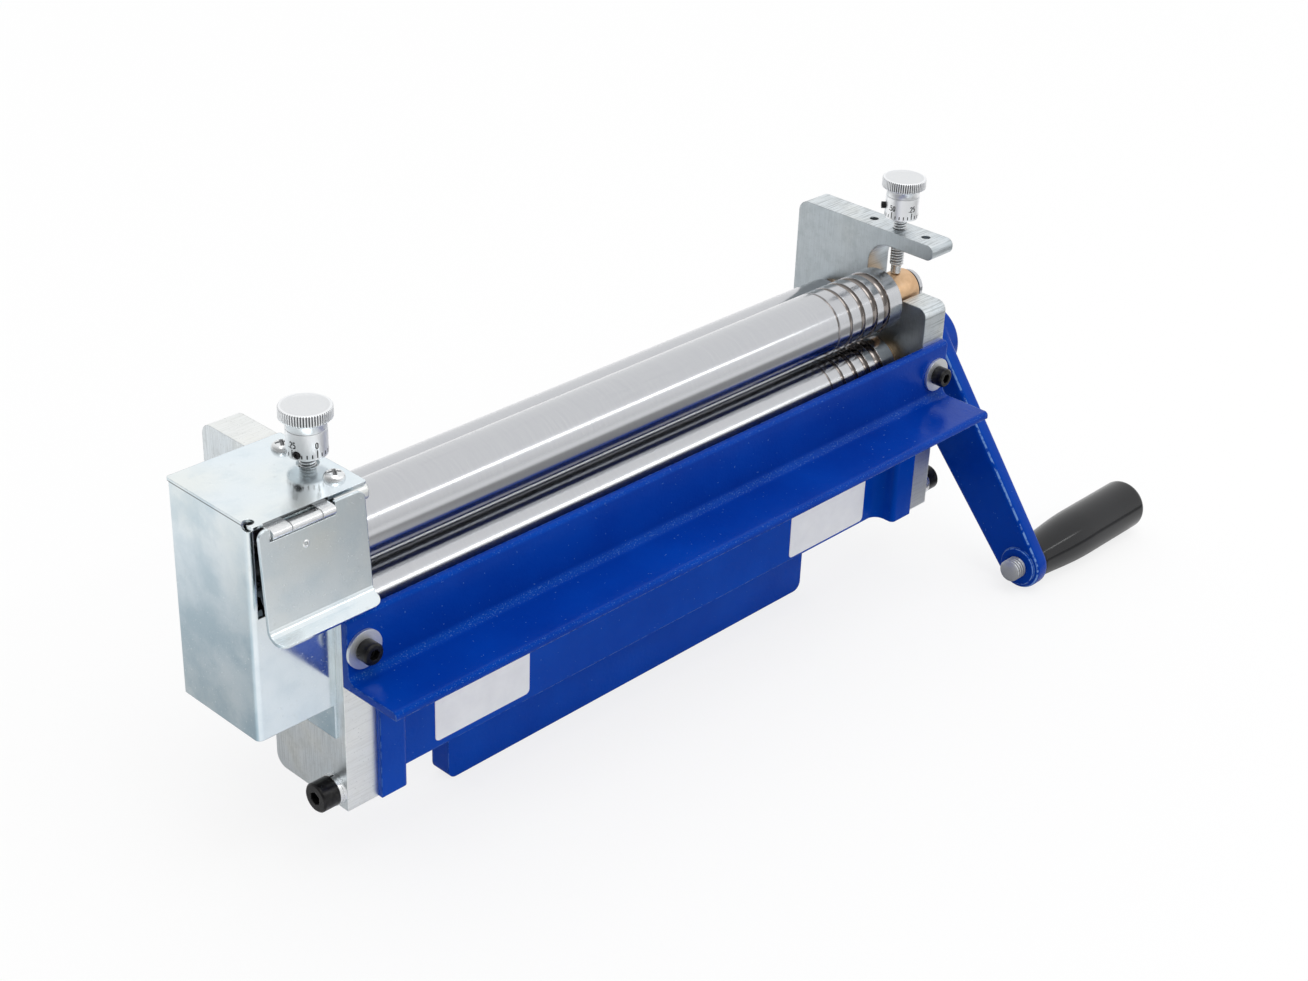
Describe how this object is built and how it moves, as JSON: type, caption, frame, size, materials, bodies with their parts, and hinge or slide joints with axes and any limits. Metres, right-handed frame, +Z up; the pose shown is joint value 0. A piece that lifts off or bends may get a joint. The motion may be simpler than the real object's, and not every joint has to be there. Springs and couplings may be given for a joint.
{
  "type": "slip roll",
  "caption": "Hand-cranked bench slip roll: geared pinch rolls and a rear bending roll between steel plates, gear cover, graduated adjusting knobs and a bar clamped in a vice.",
  "frame": {"origin": "centre of the front clamp face of the vice bar", "axes": "+X along the rolls towards the crank, -Y towards the user, +Z up"},
  "size_m": [0.4667, 0.1334, 0.1816],
  "materials": {
    "plate_steel": "zinc plated, milled",
    "blue_paint": "gloss blue paint",
    "zinc_sheet": "zinc plated sheet",
    "zinc_hardware": "bright zinc",
    "black_oxide": "black oxide",
    "bronze": "turned bearing bronze",
    "ground_steel": "ground",
    "machine_steel": "machined, oiled",
    "knob_metal": "satin chrome",
    "black_plastic": "gloss black"
  },
  "bodies": {
    "frame": {"left_side_plate": "plate_steel", "right_side_plate": "plate_steel", "front_angle": "blue_paint", "base_casting": "blue_paint", "vice_bar": "blue_paint", "angle_washers": "zinc_hardware", "angle_screws": "black_oxide", "base_bolts": "black_oxide", "base_spring_washers": "zinc_hardware", "base_flat_washers": "zinc_hardware", "lower_bush_left": "bronze", "lower_bush_right": "bronze", "gear_cover": "zinc_sheet", "cover_screws": "zinc_hardware", "hinge_leaf": "zinc_hardware", "hinge_pin": "zinc_hardware", "lift_spring_left": "machine_steel", "lift_spring_right": "machine_steel"},
    "upper_carriage": {"upper_bush_left": "bronze", "upper_bush_right": "bronze"},
    "upper_rotor": {"upper_roll": "ground_steel", "upper_gear": "machine_steel", "upper_gear_key": "machine_steel", "upper_gear_clip": "black_oxide", "upper_retaining_ring": "black_oxide"},
    "left_adjuster": {"left_adjusting_screw": "ground_steel", "left_dial": "knob_metal", "left_knob": "knob_metal", "left_set_screw": "black_oxide"},
    "right_adjuster": {"right_adjusting_screw": "ground_steel", "right_dial": "knob_metal", "right_knob": "knob_metal", "right_set_screw": "black_oxide"},
    "lower_rotor": {"lower_roll": "ground_steel", "lower_gear": "machine_steel", "lower_gear_key": "machine_steel", "lower_gear_clip": "black_oxide", "crank_arm": "blue_paint", "crank_key": "machine_steel", "crank_washer": "zinc_hardware", "crank_screw": "black_oxide", "handle_spindle": "ground_steel"},
    "grip": {"handle_grip": "black_plastic"},
    "rear_carriage": {"rear_bush_left": "bronze", "rear_bush_right": "bronze"},
    "rear_rotor": {"rear_roll": "ground_steel"},
    "left_rear_adjuster": {"left_rear_screw": "ground_steel", "left_rear_knob": "knob_metal"},
    "right_rear_adjuster": {"right_rear_screw": "ground_steel", "right_rear_knob": "knob_metal"},
    "flap": {"cover_flap": "zinc_sheet", "flap_leaf": "zinc_hardware"}
  },
  "joints": [
    {"name": "crank_turn", "type": "hinge", "parent": "frame", "child": "lower_rotor", "pos_m": [0, 0.0052, 0.08205], "axis": [1, 0, 0], "continuous": true},
    {"name": "grip_spin", "type": "hinge", "parent": "lower_rotor", "child": "grip", "pos_m": [0.2, -0.06555, -0.00348], "axis": [1, 0, 0], "continuous": true},
    {"name": "pinch_adjust", "type": "slide", "parent": "frame", "child": "upper_carriage", "axis": [0, 0, 1], "range_m": [-0.0026, 0.0015], "deforming": ["lift_spring_left", "lift_spring_right"]},
    {"name": "upper_roll_turn", "type": "hinge", "parent": "upper_carriage", "child": "upper_rotor", "pos_m": [0, 0.0052, 0.11325], "axis": [1, 0, 0], "continuous": true},
    {"name": "left_screw_turn", "type": "hinge", "parent": "upper_carriage", "child": "left_adjuster", "pos_m": [-0.161, 0.0052, 0.15], "axis": [0, 0, 1], "range_deg": [-770, 450]},
    {"name": "right_screw_turn", "type": "hinge", "parent": "upper_carriage", "child": "right_adjuster", "pos_m": [0.161, 0.0052, 0.15], "axis": [0, 0, 1], "range_deg": [-770, 450]},
    {"name": "rear_adjust", "type": "slide", "parent": "frame", "child": "rear_carriage", "axis": [0, 0, 1], "range_m": [-0.007, 0.003]},
    {"name": "rear_roll_turn", "type": "hinge", "parent": "rear_carriage", "child": "rear_rotor", "pos_m": [0, 0.0327, 0.09875], "axis": [1, 0, 0], "continuous": true},
    {"name": "left_rear_screw_turn", "type": "hinge", "parent": "rear_carriage", "child": "left_rear_adjuster", "pos_m": [-0.161, 0.0327, 0.06], "axis": [0, 0, 1], "range_deg": [-2560, 1100]},
    {"name": "right_rear_screw_turn", "type": "hinge", "parent": "rear_carriage", "child": "right_rear_adjuster", "pos_m": [0.161, 0.0327, 0.06], "axis": [0, 0, 1], "range_deg": [-2560, 1100]},
    {"name": "flap_open", "type": "hinge", "parent": "frame", "child": "flap", "pos_m": [-0.184, -0.021, 0.1414], "axis": [-1, 0, 0], "range_deg": [0, 95]}
  ],
  "couplings": [
    {"joint": "upper_roll_turn", "follows": "crank_turn", "ratio": -1},
    {"joint": "left_screw_turn", "follows": "pinch_adjust", "rad_per_m": 5026.5},
    {"joint": "right_screw_turn", "follows": "pinch_adjust", "rad_per_m": 5026.5},
    {"joint": "left_rear_screw_turn", "follows": "rear_adjust", "rad_per_m": 6283.2},
    {"joint": "right_rear_screw_turn", "follows": "rear_adjust", "rad_per_m": 6283.2}
  ]
}
